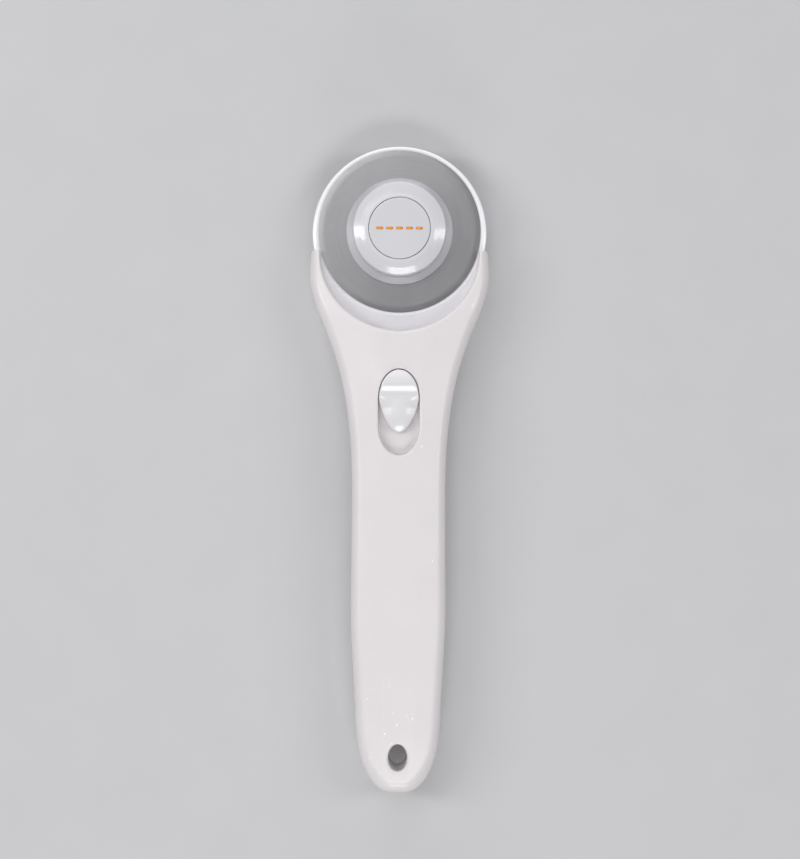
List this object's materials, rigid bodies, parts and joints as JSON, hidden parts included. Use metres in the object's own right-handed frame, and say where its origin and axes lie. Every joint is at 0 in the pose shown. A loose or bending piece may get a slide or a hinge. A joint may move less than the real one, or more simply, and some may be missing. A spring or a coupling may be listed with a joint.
{
  "type": "rotary cutter",
  "caption": "Stick-handled rotary cutter with a round steel blade, a sliding blade guard worked by a thumb button, a round hub and a hanging hole in the tail.",
  "frame": {"origin": "middle of the cutter's width and length, on the flat back that it lies on", "axes": "+Y along the handle towards the blade, +Z out of the front, with the hub and the button, +X to the right seen from the front with the blade up"},
  "size_m": [0.0498, 0.1798, 0.0201],
  "materials": {
    "handle_plastic": "warm white moulded plastic with fine sparkle flakes",
    "guard_plastic": "cool white, polished",
    "pearl_plastic": "pearl white, glossy",
    "clamp_plastic": "grey pearl, satin",
    "blade_steel": "satin ground tool steel",
    "plated_steel": "zinc plated",
    "spring_steel": "blued spring steel",
    "slider_plastic": "natural acetal",
    "nut_plastic": "white moulded plastic, fine texture",
    "brass": "turned"
  },
  "bodies": {
    "handle": {"front_shell": "handle_plastic", "rear_shell": "handle_plastic", "carrier_plate": "plated_steel", "plate_screw_1": "plated_steel", "plate_screw_2": "plated_steel", "shell_screw_1": "plated_steel", "shell_screw_2": "plated_steel", "shell_screw_3": "plated_steel", "shell_screw_4": "plated_steel", "axle_bolt": "plated_steel", "clamp_washer": "clamp_plastic", "hub_cap": "pearl_plastic", "hub_badge": "pearl_plastic", "wave_washer": "spring_steel", "detent_spring": "spring_steel"},
    "blade": {"blade": "blade_steel"},
    "guard": {"blade_guard": "guard_plastic", "slide_carriage": "slider_plastic", "carriage_screw_1": "plated_steel", "carriage_screw_2": "plated_steel", "slide_button": "pearl_plastic"},
    "nut": {"retaining_nut": "nut_plastic", "nut_insert": "brass"}
  },
  "joints": [
    {"name": "blade_spin", "type": "hinge", "parent": "handle", "child": "blade", "pos_m": [0, 0.06615, 0.0118], "axis": [0, 0, 1], "continuous": true},
    {"name": "guard_slide", "type": "slide", "parent": "handle", "child": "guard", "axis": [0, -1, 0], "range_m": [0, 0.005]},
    {"name": "nut_turn", "type": "hinge", "parent": "handle", "child": "nut", "pos_m": [0, 0.06615, 0.003], "axis": [0, 0, 1], "continuous": true}
  ]
}
